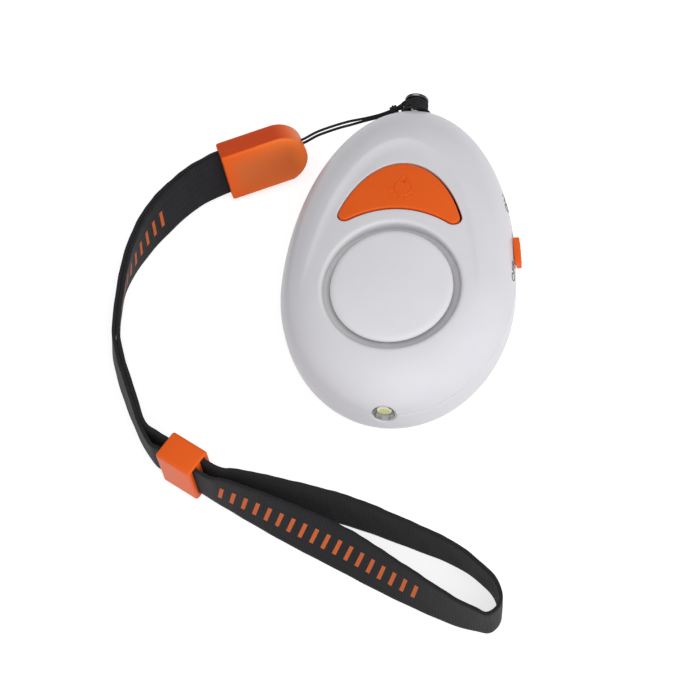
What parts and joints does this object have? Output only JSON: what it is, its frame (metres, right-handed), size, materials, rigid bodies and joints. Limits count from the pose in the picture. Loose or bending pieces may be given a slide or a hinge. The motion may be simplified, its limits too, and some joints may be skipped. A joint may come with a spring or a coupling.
{
  "type": "personal safety alarm",
  "caption": "Egg-shaped pocket alarm with sounder, torch, light button, slide switch and a pull pin on a corded wrist strap.",
  "frame": {"origin": "on the flat rest face, under the crossing of the case's centre line and its widest line", "axes": "+Z out of the front, +Y along the case towards the pull pin, +X to the side with the slide switch"},
  "size_m": [0.0847, 0.1129, 0.0235],
  "materials": {
    "white_shell": "glossy moulded",
    "satin_white": "satin",
    "orange_plastic": "satin moulded",
    "black_plastic": "moulded",
    "cream_plastic": "moulded",
    "soft_black": "soft",
    "bright_metal": "polished",
    "steel": "plain",
    "brass": "plain",
    "copper": "enamelled wire",
    "ceramic": "silvered",
    "board_green": "lacquered board",
    "lamp_yellow": "clear epoxy",
    "cord_black": "braided",
    "strap_black": "woven webbing"
  },
  "bodies": {
    "case": {"front_shell": "white_shell", "rear_shell": "white_shell", "battery_cover": "white_shell", "battery_cover_screw": "steel", "case_screws": "steel", "sounder_cover": "satin_white", "sounder_seat": "soft_black", "sounder_plate": "brass", "sounder_ceramic": "ceramic", "sounder_contacts": "brass", "circuit_board": "board_green", "board_screws": "steel", "light_switch": "black_plastic", "slide_switch": "steel", "torch_reflector": "bright_metal", "torch_lamp": "lamp_yellow", "lamp_leads": "steel", "button_cells": "steel", "battery_contacts": "brass", "battery_link": "brass", "control_chip": "black_plastic", "boost_coil": "copper", "pin_socket": "bright_metal", "pin_contacts": "brass"},
    "button": {"light_button": "orange_plastic", "light_plunger": "cream_plastic"},
    "knob": {"slide_knob": "orange_plastic"},
    "pin": {"pull_pin": "bright_metal", "pull_cord": "cord_black", "cord_knot": "cord_black", "strap_clasp": "orange_plastic", "wrist_strap": "strap_black"},
    "slider": {"strap_slider": "orange_plastic"}
  },
  "joints": [
    {"name": "button_press", "type": "slide", "parent": "case", "child": "button", "axis": [0, 0, -1], "range_m": [0, 0.0005], "stiffness_N_per_m": 400, "springref_m": -0.002},
    {"name": "knob_slide", "type": "slide", "parent": "case", "child": "knob", "axis": [-0.1444, 0.9895, 0], "range_m": [0, 0.003]},
    {"name": "pin_pull", "type": "slide", "parent": "case", "child": "pin", "axis": [0, 1, 0], "range_m": [0, 0.0125]},
    {"name": "slider_shift", "type": "slide", "parent": "pin", "child": "slider", "axis": [0.866, -0.5, 0], "range_m": [0, 0.003]}
  ]
}
